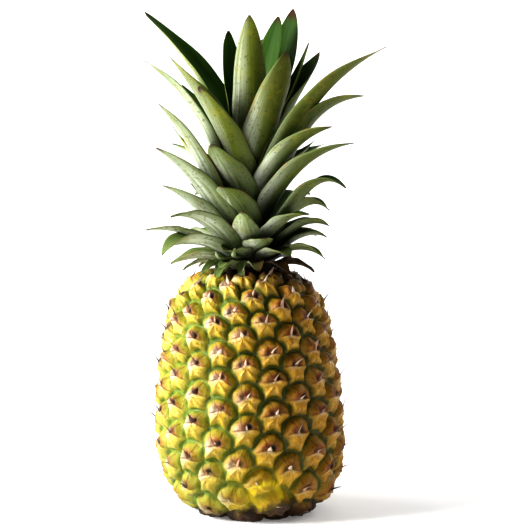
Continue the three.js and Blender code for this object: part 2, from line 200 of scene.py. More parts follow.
def mesh_object(name, points, faces, material, attributes=None, inside=PACKED_BOX):
    """An object in metres from points in millimetres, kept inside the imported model's box unless
    inside is None, with doubles merged, faces outward and smooth. attributes holds arrays of three
    numbers for each point, kept on face corners so that merged points keep both."""
    mesh = bpy.data.meshes.new(name)
    if inside is not None:
        points = np.clip(points, inside[0], inside[1])
    mesh.from_pydata((points * MM).tolist(), [], faces.tolist())
    loops = np.zeros(len(mesh.loops), np.int32)
    mesh.loops.foreach_get("vertex_index", loops)
    for label, values in (attributes or {}).items():
        layer = mesh.attributes.new(label, "FLOAT_VECTOR", "CORNER")
        layer.data.foreach_set("vector", values[loops].astype(np.float32).ravel())
    work = bmesh.new()
    work.from_mesh(mesh)
    bmesh.ops.remove_doubles(work, verts=work.verts, dist=MERGE_NEARER_THAN)
    bmesh.ops.dissolve_degenerate(work, edges=work.edges, dist=DISSOLVE_SHORTER_THAN)
    bmesh.ops.recalc_face_normals(work, faces=work.faces)
    work.to_mesh(mesh)
    work.free()
    mesh.polygons.foreach_set("use_smooth", np.ones(len(mesh.polygons), bool))
    mesh.materials.append(material)
    piece = bpy.data.objects.new(name, mesh)
    bpy.context.scene.collection.objects.link(piece)
    return piece


def grid_faces(rows, columns, wrap=False):
    """Quads of a grid of points stored row by row. With wrap, the last column joins the first."""
    index = np.arange(rows * columns).reshape(rows, columns)
    right = np.roll(index, -1, axis=1)
    if not wrap:
        index, right = index[:, :-1], right[:, :-1]
    return np.stack([index[:-1], right[:-1], right[1:], index[1:]], axis=-1).reshape(-1, 4)


def repeated_faces(faces, points_each, count):
    """The faces of one grid, once for each of the copies whose points follow one another."""
    first = np.arange(count) * points_each
    return (faces[None] + first[:, None, None]).reshape(-1, faces.shape[1])


# Rind


def walk_meridian(steps=900):
    """Centripetal Catmull-Rom curve through the rind's knots: length along it, radius, height and
    outward normal, the count of eyes below each point, and the latitude of the sphere that the
    rind maps to without shearing."""
    knots = np.vstack([2 * RIND[0] - RIND[1], RIND, 2 * RIND[-1] - RIND[-2]])
    gaps = np.linalg.norm(np.diff(knots, axis=0), axis=1) ** 0.5
    place = np.linspace(0, len(RIND) - 1, steps + 1)
    i = np.minimum(place.astype(int), len(RIND) - 2)
    w = (place - i)[:, None]
    p0, p1, p2, p3 = (knots[i + k] for k in range(4))
    d0, d1, d2 = (gaps[i + k][:, None] for k in range(3))
    m1 = ((p1 - p0) / d0 - (p2 - p0) / (d0 + d1) + (p2 - p1) / d1) * d1
    m2 = ((p2 - p1) / d1 - (p3 - p1) / (d1 + d2) + (p3 - p2) / d2) * d1
    curve = p1 + m1 * w + (3 * (p2 - p1) - 2 * m1 - m2) * w**2 + (2 * (p1 - p2) + m1 + m2) * w**3
    r, z = np.maximum(curve[:, 0], 0), curve[:, 1]
    along = np.gradient(curve, axis=0)
    along /= np.linalg.norm(along, axis=1)[:, None]
    step = np.linalg.norm(np.diff(curve, axis=0), axis=1)
    radius = np.maximum((r[1:] + r[:-1]) / 2, LEAST_RADIUS)
    rise = (np.maximum(z[1:], 0) / RIND[-1, 1]) ** EYE_AREA_BEND
    area = EYE_AREA_LOW + (EYE_AREA_HIGH - EYE_AREA_LOW) * rise
    stretch = np.concatenate([[0], np.cumsum(step / radius)])
    return {
        "s": np.concatenate([[0], np.cumsum(step)]),
        "r": r,
        "z": z,
        "normal": np.stack([along[:, 1], -along[:, 0]], -1),
        "eyes": np.concatenate([[0], np.cumsum(2 * np.pi * radius * step / area)]),
        "latitude": 2 * np.arctan(np.exp(stretch - stretch[steps // 2])) - np.pi / 2,
    }


meridian = walk_meridian()


def on_rind(direction, height):
    """The point of the rind that a direction of the sphere maps to, raised by a height along the
    rind's normal."""
    unit = direction / np.linalg.norm(direction, axis=-1, keepdims=True)
    latitude = np.arcsin(np.clip(unit[..., 2], -1, 1))
    s = np.interp(latitude, meridian["latitude"], meridian["s"])
    normal = meridian["normal"]
    r = np.interp(s, meridian["s"], meridian["r"])
    r = r + height * np.interp(s, meridian["s"], normal[:, 0])
    z = np.interp(s, meridian["s"], meridian["z"])
    rest = np.clip(1 - np.maximum(z, 0) / LEAN_FULL, 0, None)
    z = z + height * np.interp(s, meridian["s"], normal[:, 1])
    across = np.maximum(np.hypot(unit[..., 0], unit[..., 1]), 1e-9)
    x = r * unit[..., 0] / across + LEAN_SIDE * (1 - rest**2)
    return np.stack([x, r * unit[..., 1] / across, z], -1)


def eye_directions():
    """One eye each divergence angle round the axis, as high as the rind area of the eyes below it
    gives, and pushed up on the side of +X by the slant times the sine of its bearing and its share
    of the height."""
    start = np.argmax(meridian["z"] >= FIRST_EYE_HEIGHT)
    first = meridian["eyes"][start]
    n = np.arange(-np.floor(first), meridian["eyes"][-1] - first)
    bearing = FIRST_EYE_BEARING + DIVERGENCE * n + DIVERGENCE_DRIFT * n * n
    bearing = np.radians(bearing + UNEVEN * wobble(n, 2.3))
    level = np.interp(first + n, meridian["eyes"], meridian["s"])
    share = np.maximum(np.interp(level, meridian["s"], meridian["z"]), 0) / RIND[-1, 1]
    s = level + EYE_SLANT * np.sin(bearing) * share + UNEVEN * wobble(n, 3.7)
    kept = np.interp(s, meridian["s"], meridian["r"]) >= EYES_FROM_RADIUS
    bearing, s = bearing[kept], s[kept]
    latitude = np.interp(s, meridian["s"], meridian["latitude"])
    flat = np.cos(latitude)
    return np.stack([flat * np.sin(bearing), -flat * np.cos(bearing), np.sin(latitude)], -1)


def eye_sectors(centres):
    """Each eye's cell as sectors: the eye, and the two corners of the cell's side in order round
    it. A corner is the middle of a triangle of the convex hull through the eyes on the sphere."""
    work = bmesh.new()
    for centre in centres:
        work.verts.new(centre)
    bmesh.ops.convex_hull(work, input=work.verts)
    bmesh.ops.triangulate(work, faces=work.faces)
    work.verts.index_update()
    trios = np.array([[v.index for v in face.verts] for face in work.faces])
    places = np.array([v.co for v in work.verts])
    work.free()
    corner = places[trios].sum(axis=1)
    corner /= np.linalg.norm(corner, axis=1)[:, None]
    eye = trios.ravel()
    corner = np.repeat(corner, 3, axis=0)
    up = np.where(np.abs(places[:, 2:3]) > 0.999, [[0, 1, 0]], [[0, 0, 1]])
    east = np.cross(up, places)
    east /= np.linalg.norm(east, axis=1)[:, None]
    north = np.cross(places, east)
    turn = np.arctan2((corner * north[eye]).sum(1), (corner * east[eye]).sum(1))
    order = np.lexsort((turn, eye))
    eye, corner = eye[order], corner[order]
    last = np.append(eye[1:] != eye[:-1], True)
    start = np.searchsorted(eye, eye)
    following = np.where(last, start, np.arange(len(eye)) + 1)
    return places, east, north, eye, corner, corner[following]


def eye_relief(u, w, s, corner, luck):
    """Height over the rind: a dome that falls into the groove, a tent-like bract below its lip with
    pleats to the corners, and above the lip three rounded sepals with creases between and a pit on
    each side of the dry tip."""
    fade = (1 - s * s) ** 0.7
    dome = -GROOVE + (GROOVE + RIM) * (1 - s**DOME_POWER)
    tent = BRACT * np.clip(1 + w / 0.95, 0, 1) ** 0.8 * (1 - 0.4 * np.minimum(u * u, 1))
    pleat = PLEAT * corner**2.2 * s * (1 - s * s) * 2.4 * smooth(0.1, -0.2, w)
    lobes = SEPALS * (0.6 + 0.7 * luck[..., 0]) * (
        hump(u, -0.36, 0.3) * hump(w, 0.2, 0.3) + hump(u, 0.36, 0.3) * hump(w, 0.2, 0.3)
        + 0.9 * hump(u, 0.06 * (luck[..., 2] - 0.5), 0.3) * hump(w, 0.5, 0.26))
    right = hump(u, 0.2, 0.13) * (0.25 + 1.1 * luck[..., 1])
    left = hump(u, -0.22, 0.12) * (0.9 - 0.9 * luck[..., 1])
    pit = PIT * hump(w, 0.16, 0.15) * (right + left)
    above = smooth(-0.04, 0.08, w)
    return dome + fade * ((1 - above) * (tent + pleat) + above * (0.3 * BRACT + lobes - pit))


def lumps(points):
    """A slight unevenness of the flesh: products of crossing sine waves a few millimetres long."""
    x, y, z = points[..., 0], points[..., 1], points[..., 2]
    coarse = np.sin(1.1 * x + 0.5 * z + 1) * np.sin(0.9 * z - 0.8 * y)
    fine = np.sin(2.1 * x - 1.3 * z + 0.7 * y) * np.sin(1.7 * z + 1.5 * x + 2)
    return LUMP * (0.6 * coarse + 0.4 * fine)


def wander(points):
    """Every point shifted by slow sine waves of its place, so that no groove runs straight."""
    x, y, z = points[..., 0], points[..., 1], points[..., 2]
    fade = smooth(0, 12, z)
    return points + WANDER * fade[..., None] * np.stack([
        np.sin(z / 3.3 + y / 6.1) + 0.6 * np.sin(z / 1.7 - x / 4.1),
        np.sin(z / 4.3 - x / 5.7) + 0.4 * np.sin(x / 1.9 + 2),
        np.sin(x / 3.7 + y / 4.9 + 1) + 0.6 * np.sin(x / 2.1 - z / 3.7),
    ], -1)


def make_rind(material):
    """Sectors of all the eyes' cells as grids: s runs from the eye to its cell's side, t along that
    side. Also returns the middle, side and up directions of each eye that bears a dry tip."""
    centres = np.vstack([eye_directions(), [[0, 0, -1], [0, 0, 1]]])
    places, east, north, eye, a, b = eye_sectors(centres)
    plain = np.abs(places[:, 2]) > 0.9999
    luck = rng.random((len(places), 3))
    s = np.linspace(0, 1, RINGS + 1) ** 0.85
    t = np.linspace(0, 1, EDGE_STEPS + 1)
    side = a[:, None] + t[None, :, None] * (b - a)[:, None]
    middle = places[eye][:, None, None]
    direction = middle + s[None, :, None, None] * (side[:, None] - middle)
    rind_middle = on_rind(places, 0)
    scale = np.linalg.norm(on_rind(a, 0) - rind_middle[eye], axis=1)
    size = (np.bincount(eye, scale) / np.bincount(eye))[eye][:, None, None]
    arm = on_rind(direction, 0) - rind_middle[eye][:, None, None]
    tip_up = on_rind(places + TURN_BY * north, 0) - rind_middle
    tip_up /= np.linalg.norm(tip_up, axis=1)[:, None]
    tip_side = on_rind(places + TURN_BY * east, 0) - rind_middle
    tip_side /= np.linalg.norm(tip_side, axis=1)[:, None]
    u = (arm * tip_side[eye][:, None, None]).sum(-1) / size
    v = (arm * tip_up[eye][:, None, None]).sum(-1) / size
    lip = 0.12 - 0.3 * np.abs(u) ** 1.3 + 0.16 * (luck[eye][:, 2] - 0.5)[:, None, None]
    w = v - lip + 0.22 * (luck[eye][:, 0] - 0.5)[:, None, None] * u
    corner = np.broadcast_to(np.abs(2 * t - 1)[None, None, :], u.shape)
    upper = smooth(-0.15, 0.25, w)
    star = (1 - upper) * (1 - corner**1.5)
    share = s[None, :, None] * (1 + ROUNDING * upper * corner**2 + STAR * star)
    leafy = s[None, :, None] + LEAFY_CORNER * upper * corner**2 + LEAFY_SIDE * star
    chance = np.broadcast_to(luck[eye][:, None, None], (*u.shape, 3))
    height = eye_relief(u, w, np.minimum(share, 1), corner, chance) + lumps(on_rind(direction, 0))
    height = np.where(plain[eye][:, None, None], -GROOVE, height)
    points = wander(on_rind(direction, height))
    points[..., 2] = np.maximum(points[..., 2], 0)
    points_each = (RINGS + 1) * (EDGE_STEPS + 1)
    faces = repeated_faces(grid_faces(RINGS + 1, EDGE_STEPS + 1), points_each, len(eye))
    shown = np.where(plain[eye][:, None, None], 1.0, np.minimum(leafy, 1.05))
    pattern = np.stack([u, w, shown], -1).reshape(-1, 3)
    piece = mesh_object("rind", points.reshape(-1, 3), faces, material,
                        {"eye": pattern, "eye_luck": chance.reshape(-1, 3)})
    real = ~plain & (rind_middle[:, 2] > TIPS_FROM_HEIGHT)
    return piece, (wander(rind_middle)[real], tip_side[real], tip_up[real])


def make_dry_tips(eyes, material):
    """A narrow papery blade on each eye: its spine leaves the lip, follows the rind upward and
    curls out, its width falls from the root to nothing at the point, and its section is a shallow
    arch with a thin wall. It is shorter beside the crown and longer at the fruit's two sides."""
    middle, side, up = eyes
    count = len(middle)
    chance = rng.random((count, 5))
    out = np.cross(side, up)
    t = np.linspace(0, 1, TIP_ROWS)[None, :, None]
    c = np.linspace(-1, 1, TIP_COLUMNS)[None, None, :]
    from_axis = np.hypot(middle[:, 0], middle[:, 1])
    near_crown = np.clip((from_axis - TIP_CROWN_CLEAR) / TIP_FULL_LATER, 0.45, 1)
    sideward = smooth(0.7, 0.95, np.abs(out[:, 0]))
    length = TIP_LENGTH[0] + TIP_LENGTH[1] * chance[:, 0]
    length = (length * near_crown * (1 + TIP_LONGER_AT_SIDES * sideward))[:, None, None]
    depth_left = PACKED_BOX[1, 1] - 0.5 - np.abs(middle[:, 1])
    room = depth_left / np.maximum(np.abs(out[:, 1]), 0.05) - TIP_STANDS_OFF - 0.2
    lift = np.minimum(TIP_LIFT[0] + TIP_LIFT[1] * chance[:, 1], np.clip(room, 0.8, None))
    lift = (lift * (1 + 0.5 * sideward))[:, None, None]
    swing = (TIP_SWING * (chance[:, 2] - 0.25))[:, None, None]
    half = (TIP_HALF[0] + TIP_HALF[1] * chance[:, 3] ** 2)[:, None, None] * (1 - t**1.6)
    twist = (TIP_TWIST * (chance[:, 4] - 0.5))[:, None, None] * t
    rise = TIP_ROOT_RISE + length * 0.72 * t
    away = TIP_STANDS_OFF + lift * t**1.8
    sideways = swing * t**2
    arch = TIP_ARCH * (1 - c * c) * (1 - 0.6 * t)
    axes = [axis[:, None, None] for axis in (side, up, out)]
    layers = []
    for wall in (0.0, -TIP_WALL):
        x = sideways + half * c * np.cos(twist)
        y = rise + 0 * c
        z = away + half * c * np.sin(twist) + arch + wall * (1 - 0.8 * t)
        shift = sum(part[..., None] * axis for part, axis in zip((x, y, z), axes))
        layers.append(middle[:, None, None] + shift)
    points = np.concatenate([layers[0], layers[1][:, :, ::-1]], axis=2)
    along = np.broadcast_to(t, (count, TIP_ROWS, 2 * TIP_COLUMNS))
    across = np.broadcast_to(np.concatenate([c, c[..., ::-1]], -1), along.shape)
    number = np.broadcast_to(chance[:, 0][:, None, None], along.shape)
    ring = 2 * TIP_COLUMNS
    faces = np.vstack([grid_faces(TIP_ROWS, ring, wrap=True), end_faces(ring)])
    faces = repeated_faces(faces, TIP_ROWS * ring, count)
    return mesh_object("dry_tips", points.reshape(-1, 3), faces, material,
                       {"blade": np.stack([across, along, number], -1).reshape(-1, 3)})


def end_faces(ring):
    """Closes the first ring of a swept tube whose second half runs back under its first."""
    i = np.arange(ring // 2 - 1)
    return np.stack([i + 1, i, ring - 1 - i, ring - 2 - i], -1)


# Leaves


def heading(degrees):
    """The direction out of the axis and up that rises by an angle."""
    return np.stack([np.cos(np.radians(degrees)), np.sin(np.radians(degrees))], -1)


def leaf_points(rows, seed_shift):
    """Gutters swept along cubic midribs, all leaves at once: stations along t, columns across c.
    The half width is (1 - t^4)^0.8 of the full one, fullest a third of the way, and a little is
    left at the point. The section bends round a circle of the stem's radius at the root and of 0.45
    of the width further out. Margins ripple slightly, and each leaf rolls a little to one side."""
    rows = np.array(rows, float)
    bearing, root, reach, tip, launch, finish, width, sway = (rows[:, k, None] for k in range(8))
    n = np.arange(len(rows))[:, None] + seed_shift
    t = np.linspace(0, 1, STATIONS)[None, :]
    radius = np.interp(root, STEM[:, 1], STEM[:, 0])
    start = np.stack([radius - ROOT_SUNK, root], -1)
    end = np.stack([reach, tip], -1)
    span = np.linalg.norm(end - start, axis=-1, keepdims=True)
    first = start + heading(launch) * span * ROOT_HANDLE
    last = end - heading(finish) * span * TIP_HANDLE
    k = t[..., None]
    middle = (1 - k) ** 3 * start + 3 * (1 - k) ** 2 * k * first
    middle = middle + 3 * (1 - k) * k**2 * last + k**3 * end
    along = 3 * (1 - k) ** 2 * (first - start) + 6 * (1 - k) * k * (last - first)
    along = along + 3 * k**2 * (end - last)
    along /= np.linalg.norm(along, axis=-1, keepdims=True)
    fullness = ROOT_FULLNESS + (1 - ROOT_FULLNESS) * np.sin(np.pi * np.minimum(t * 1.4, 0.5))
    half = width / 2 * np.clip(1 - t**4, 0, 1) ** 0.8 * fullness + POINT_HALF
    curl = radius + 3 + (width * 0.45 - radius - 3) * t**0.6
    bend = np.minimum(half / curl, MOST_BEND)[..., None]
    half = half[..., None]
    c = np.linspace(-1, 1, ACROSS)[None, None, :]
    ripple = RIPPLE * np.sin(RIPPLE_WAVES * t + 2.1 * n)[..., None] * c**2 * np.sign(c)
    ripple = ripple * smooth(0.1, 0.4, t)[..., None]
    roll = (ROLL * np.sin(2.6 * n) * t**1.5)[..., None]
    flat = half / bend * np.sin(c * bend)
    raised = half / bend * (1 - np.cos(c * bend)) + ripple
    lateral = flat * np.cos(roll) - raised * np.sin(roll)
    lift = flat * np.sin(roll) + raised * np.cos(roll)
    midrib = MIDRIB_THICK * (1 - 0.5 * t[..., None])
    thick = MARGIN_THICK + (midrib - MARGIN_THICK) * (1 - np.abs(c))
    thick = thick * (1 - 0.75 * t[..., None] ** 6)
    turn = np.radians(bearing - 90)[..., None]
    skins = []
    for offset in (lift, lift - thick):
        x = middle[..., 0:1] - along[..., 1:2] * offset
        y = lateral + sway[..., None] * t[..., None] ** 2
        z = middle[..., 1:2] + along[..., 0:1] * offset
        skins.append(np.stack([
            x * np.cos(turn) - y * np.sin(turn) + CROWN_SIDE,
            x * np.sin(turn) + y * np.cos(turn),
            np.broadcast_to(z, y.shape)], -1))
    points = np.concatenate([skins[0], skins[1][:, :, ::-1]], axis=2)
    columns = np.concatenate([c, c[..., ::-1]], -1)
    upper = np.concatenate([np.ones(ACROSS), np.zeros(ACROSS)])[None, None]
    age = np.clip((YOUNG_FROM - root) / AGES_OVER, 0, 1)[..., None]
    number = 0.5 + 0.5 * np.sin(12.9 * n)[..., None]
    full = np.ones(points.shape[:3])
    blade = np.stack([columns * full, t[..., None] * full, upper * full], -1)
    kind = np.stack([age * full, number * full, 0 * full], -1)
    return points, blade, kind


def make_leaves(name, rows, material, seed_shift):
    points, blade, kind = leaf_points(rows, seed_shift)
    count = len(rows)
    faces = np.vstack([grid_faces(STATIONS, 2 * ACROSS, wrap=True), end_faces(2 * ACROSS)])
    faces = repeated_faces(faces, STATIONS * 2 * ACROSS, count)
    return mesh_object(name, points.reshape(-1, 3), faces, material,
                       {"blade": blade.reshape(-1, 3), "leaf_kind": kind.reshape(-1, 3)})


def collar_rows():
    """The small leaves at the crown's foot, evenly round it but for slight wobbles."""
    i = np.arange(COLLAR_COUNT)
    first, root, reach, tip, launch, finish, width = COLLAR
    ones = np.ones(COLLAR_COUNT)
    return np.stack([
        first + 360 / COLLAR_COUNT * i + 5 * wobble(i, 2.9), root + 1.5 * wobble(i, 1.7),
        reach + 4 * wobble(i, 4.1), tip + 3 * wobble(i, 5.3),
        launch * ones, finish * ones, width * ones, 0 * ones], -1)


def make_stem(material):
    """The stem's outline turned round its axis, with a low swell for each leaf scar."""
    knots = np.linspace(0, len(STEM) - 1, STEM_RINGS)
    r = np.interp(knots, np.arange(len(STEM)), STEM[:, 0])
    z = np.interp(knots, np.arange(len(STEM)), STEM[:, 1])
    turn = np.linspace(0, 2 * np.pi, STEM_SIDES, endpoint=False)
    swell = STEM_SWELL * np.sin(8 * turn[None] + 1.1 * z[:, None])
    radius = r[:, None] + swell - 0.3
    radius[0] = radius[-1] = 0
    points = np.stack([radius * np.cos(turn) + CROWN_SIDE, radius * np.sin(turn),
                       np.broadcast_to(z[:, None], radius.shape)], -1)
    faces = grid_faces(STEM_RINGS, STEM_SIDES, wrap=True)
    return mesh_object("crown_stem", points.reshape(-1, 3), faces, material)


# Materials


def linear(hex_colour):
    """A colour as it looks in the photograph's light, as the linear values that a shader takes.
    The picture is exposed for the white floor, so surfaces are darker than they look by that
    gain."""
    value = np.array([int(hex_colour[i:i + 2], 16) for i in (0, 2, 4)]) / 255
    value = np.where(value <= 0.04045, value / 12.92, ((value + 0.055) / 1.055) ** 2.4)
    return (*(float(v) / EXPOSURE_GAIN for v in value), 1.0)


class Nodes:
    """Short calls that add shader nodes to a tree and link them. A value is a socket, a number or
    a colour."""

    def __init__(self, tree):
        self.tree = tree

    def put(self, socket, value):
        if isinstance(value, bpy.types.NodeSocket):
            self.tree.links.new(value, socket)
        elif isinstance(value, str):
            socket.default_value = linear(value)
        else:
            socket.default_value = value

    def add(self, kind, inputs=None, **settings):
        node = self.tree.nodes.new(kind)
        for key, value in settings.items():
            setattr(node, key, value)
        for key, value in (inputs or {}).items():
            self.put(node.inputs[key], value)
        return node

    def math(self, operation, a, b=0.0, clamp=False):
        node = self.add("ShaderNodeMath", {0: a, 1: b}, operation=operation, use_clamp=clamp)
        return node.outputs[0]

    def times(self, a, b, clamp=False):
        return self.math("MULTIPLY", a, b, clamp)

    def plus(self, a, b):
        return self.math("ADD", a, b)

    def minus(self, a, b):
        return self.math("SUBTRACT", a, b)

    def around(self, value, swing):
        """A value between 0 and 1 turned into a swing to both sides of nothing."""
        return self.times(self.minus(value, 0.5), swing)

    def ramp(self, value, low, high, out_low=0.0, out_high=1.0):
        """out_low at low, out_high at high, and a smooth step between."""
        node = self.add("ShaderNodeMapRange", {0: value, 1: low, 2: high, 3: out_low, 4: out_high},
                        interpolation_type="SMOOTHSTEP")
        return node.outputs[0]

    def mix(self, factor, a, b):
        return self.add("ShaderNodeMix", {0: factor, 6: a, 7: b}, data_type="RGBA").outputs[2]

    def place(self):
        return self.add("ShaderNodeTexCoord").outputs["Object"]

    def split(self, vector):
        return self.add("ShaderNodeSeparateXYZ", {0: vector}).outputs

    def attribute(self, label):
        return self.split(self.add("ShaderNodeAttribute", attribute_name=label).outputs["Vector"])

    def noise(self, vector, scale, detail=3.0, roughness=0.55):
        inputs = {"Vector": vector, "Scale": scale, "Detail": detail, "Roughness": roughness}
        return self.add("ShaderNodeTexNoise", inputs).outputs[0]

    def join(self, x, y, z):
        return self.add("ShaderNodeCombineXYZ", {0: x, 1: y, 2: z}).outputs[0]

    def distance(self, place, spot):
        inputs = {0: place, 1: spot}
        return self.add("ShaderNodeVectorMath", inputs, operation="DISTANCE").outputs["Value"]

    def bump(self, height, strength, distance):
        inputs = {"Strength": strength, "Distance": distance, "Height": height}
        return self.add("ShaderNodeBump", inputs).outputs[0]

    def hump(self, value, middle, width):
        """exp(-((value - middle) / width)^2)."""
        part = self.math("DIVIDE", self.minus(value, middle), width)
        return self.math("POWER", EULER, self.times(self.times(part, part), -1.0))

    def group(self, tree, **inputs):
        node = self.add("ShaderNodeGroup", node_tree=tree)
        for key, value in inputs.items():
            self.put(node.inputs[key], value)
        return node.outputs


def new_group(name, inputs, outputs):
    """A shader node group with named sockets, and the nodes to fill it with."""
    tree = bpy.data.node_groups.new(name, "ShaderNodeTree")
    for label, default in inputs:
        kind = "NodeSocketVector" if default is None else "NodeSocketFloat"
        socket = tree.interface.new_socket(label, in_out="INPUT", socket_type=kind)
        if default is not None:
            socket.default_value = default
    for label in outputs:
        tree.interface.new_socket(label, in_out="OUTPUT", socket_type="NodeSocketFloat")
    given = tree.nodes.new("NodeGroupInput").outputs
    made = tree.nodes.new("NodeGroupOutput").inputs
    return Nodes(tree), given, made, tree


def skin_grain_group():
    """Fine living-skin grain: a coarse mottle, and the height of it and of fine pores."""
    inputs = [("Place", None), ("Scale", 300.0)]
    n, given, made, tree = new_group("skin grain", inputs, ["Mottle", "Height"])
    mottle = n.noise(given["Place"], n.times(given["Scale"], 0.25), 4.0)
    pores = n.noise(given["Place"], given["Scale"], 5.0, 0.65)
    n.put(made["Mottle"], n.ramp(mottle, 0.32, 0.68))
    n.put(made["Height"], n.plus(n.times(mottle, 0.5), n.times(pores, 0.5)))
    return tree


def freckle_group():
    """Freckles and larger blotches: noise cut off near its top, so only scattered islands stay."""
    inputs = [("Place", None), ("Scale", 400.0), ("Rarity", 0.62)]
    n, given, made, tree = new_group("freckles", inputs, ["Freckles", "Blotches"])
    rarity = given["Rarity"]
    fine = n.noise(given["Place"], given["Scale"], 2.0)
    broad = n.noise(given["Place"], n.times(given["Scale"], 0.22), 3.0)
    n.put(made["Freckles"], n.ramp(fine, rarity, n.plus(rarity, 0.05)))
    n.put(made["Blotches"], n.ramp(broad, n.minus(rarity, 0.08), n.plus(rarity, 0.1)))
    return tree


def fibre_group():
    """Lines that run along a blade: noise stretched over the blade's own across and along."""
    inputs = [("Across", 0.0), ("Along", 0.0), ("Count", 22.0), ("Shift", 0.0)]
    n, given, made, tree = new_group("fibres", inputs, ["Lines", "Height"])
    across = n.times(given["Across"], given["Count"])
    place = n.join(across, n.times(given["Along"], 2.2), given["Shift"])
    fine = n.noise(place, 1.0, 3.0, 0.6)
    n.put(made["Lines"], n.ramp(fine, 0.36, 0.64))
    n.put(made["Height"], fine)
    return tree


def new_material(name):
    """A material, the calls to fill its tree, and its Principled shader."""
    material = bpy.data.materials.new(name)
    material.use_nodes = True
    tree = material.node_tree
    shader = next(node for node in tree.nodes if node.type == "BSDF_PRINCIPLED")
    return material, Nodes(tree), shader


def rind_material(grain, freckles):
    """Each eye by its own coordinates: u across, w above the bract's lip, s from its middle to the
    groove. Golden bracts, orange-brown sepals and green grooves, with painted shade in the pits, in
    dark lines between and across the sepals and at the bottom of the grooves, a painted highlight on
    the lip, and pale patches on each eye's lit side that are paper-like tissue and painted highlight.
    All browner and darker towards +X: partly riper colour, partly painted shade. And this fruit's own
    marks: a yellow bruise, a dark brown shoulder that reaches lower towards +X, and a dark brown foot
    with a wider patch low towards +X."""
    material, n, shader = new_material("pineapple_rind")
    place = n.place()
    u, w, s = n.attribute("eye")
    luck_a, luck_b, luck_c = n.attribute("eye_luck")
    x, _, z = n.split(place)
    skin = n.group(grain, Place=place, Scale=520.0)
    spots = n.group(freckles, Place=place, Scale=620.0, Rarity=0.6)
    drifting = n.plus(x, n.around(n.noise(place, 18.0, 2.0), 0.05))
    # Browner and darker towards +X: partly riper colour, partly painted shade on the side away from
    # the key light.
    riper_and_shaded = n.ramp(drifting, -0.06, 0.026)
    lit = n.ramp(drifting, 0.014, -0.034)

    leafy = n.mix(riper_and_shaded, "b6b144", "9c7812")
    bract = n.mix(riper_and_shaded, "c6b94c", "c08c12")
    bract = n.mix(n.times(n.hump(x, -0.010, 0.024), 0.6), bract, "d0a915")
    bract = n.mix(n.times(skin["Mottle"], 0.35), bract, "ab7716")
    bract = n.mix(n.ramp(s, 0.5, 0.9), bract, leafy)
    streak = n.noise(n.join(n.times(u, 9.0), w, luck_a), 1.4, 2.0)
    streak = n.times(n.ramp(streak, 0.45, 0.7), 0.3)
    bract = n.mix(streak, bract, "d5c162")
    pale = n.times(n.ramp(n.noise(place, 230.0, 2.0), 0.52, 0.66), n.ramp(s, 0.85, 0.6))
    bract = n.mix(n.times(pale, 0.4), bract, "e2c668")

    sepal = n.mix(n.ramp(n.noise(place, 260.0, 3.0), 0.35, 0.65), "a86414", "cf9a30")
    sepal = n.mix(n.times(n.ramp(luck_c, 0.3, 1.0), 0.55), sepal, "96500f")
    sepal = n.mix(n.ramp(s, 0.42, 0.82), sepal, leafy)
    core = n.times(n.hump(u, 0.0, 0.46), n.hump(w, 0.16, 0.28))
    sepal = n.mix(n.times(core, 0.85), sepal, "7c3a15")
    # Painted shade: dark lines in the gaps between the sepals.
    cleft_shade = n.hump(n.minus(n.math("ABSOLUTE", u), n.times(w, 0.42)), 0.04, 0.035)
    cleft_shade = n.times(cleft_shade, n.ramp(w, 0.15, 0.3))
    sepal = n.mix(n.times(cleft_shade, 0.55), sepal, "50260d")
    # Painted shade: near black in the pits on each side of the dry tip.
    right = n.times(n.hump(u, 0.20, 0.15), n.plus(n.times(luck_b, 1.3), 0.3))
    left = n.times(n.hump(u, -0.22, 0.12), n.minus(1.0, n.times(luck_b, 1.1)))
    pit = n.times(n.hump(w, 0.17, 0.18), n.plus(right, left), clamp=True)
    sepal = n.mix(pit, sepal, "200a04")

    upper = n.ramp(n.plus(w, n.around(skin["Mottle"], 0.05)), -0.03, 0.04)
    colour = n.mix(upper, bract, sepal)
    # Pale cream patches on the left of each eye, only on the lit side of the fruit: paper-like tissue
    # with a painted highlight.
    papery = n.times(n.times(n.hump(u, -0.42, 0.3), n.hump(w, 0.0, 0.3)), lit)
    papery = n.times(papery, n.ramp(skin["Mottle"], 0.1, 0.6, 0.6, 1.0))
    colour = n.mix(papery, colour, "e8d3b8")
    # Painted shade: a dark diagonal line over each eye's upper half, only on the lit side.
    fold_shade = n.hump(n.plus(n.minus(u, 0.02), n.times(w, 0.55)), 0.0, 0.045)
    fold_shade = n.times(n.times(fold_shade, n.ramp(w, 0.0, 0.06)), lit)
    fold_shade = n.times(fold_shade, n.ramp(w, 0.55, 0.4))
    colour = n.mix(n.times(fold_shade, 0.8), colour, "5a2a10")
    # Painted highlight: a pale band along the bract's lip.
    lip = n.times(n.hump(w, -0.05, 0.09), n.hump(u, -0.05, 0.28))
    colour = n.mix(n.times(lip, 0.8), colour, "cdb590")
    # Painted shade: a dark line just above the lip.
    crease_shade = n.times(n.hump(w, 0.03, 0.05), n.ramp(s, 0.95, 0.6))
    colour = n.mix(n.times(crease_shade, 0.7), colour, "5d2a0c")

    edge = n.plus(s, n.around(skin["Mottle"], 0.13))
    green = n.mix(riper_and_shaded, "97a233", "5a5a12")
    green = n.mix(n.times(n.ramp(z, 0.075, 0.0), 0.6), green, "4c7420")
    # The grooves' own green, darker at their bottom as painted shade.
    groove = n.mix(riper_and_shaded, "6f8c30", "36460f")
    green = n.mix(n.ramp(edge, 0.92, 1.01), green, groove)
    colour = n.mix(n.times(n.ramp(edge, 0.85, 0.98), 0.88), colour, green)
    colour = n.mix(n.times(spots["Freckles"], 0.5), colour, "784d19")
    # Greener and darker low on the side of -X.
    low_left_green = n.times(n.ramp(z, 0.065, 0.01), n.ramp(x, 0.008, -0.02))
    colour = n.mix(n.times(low_left_green, 0.32), colour, "6d8428")

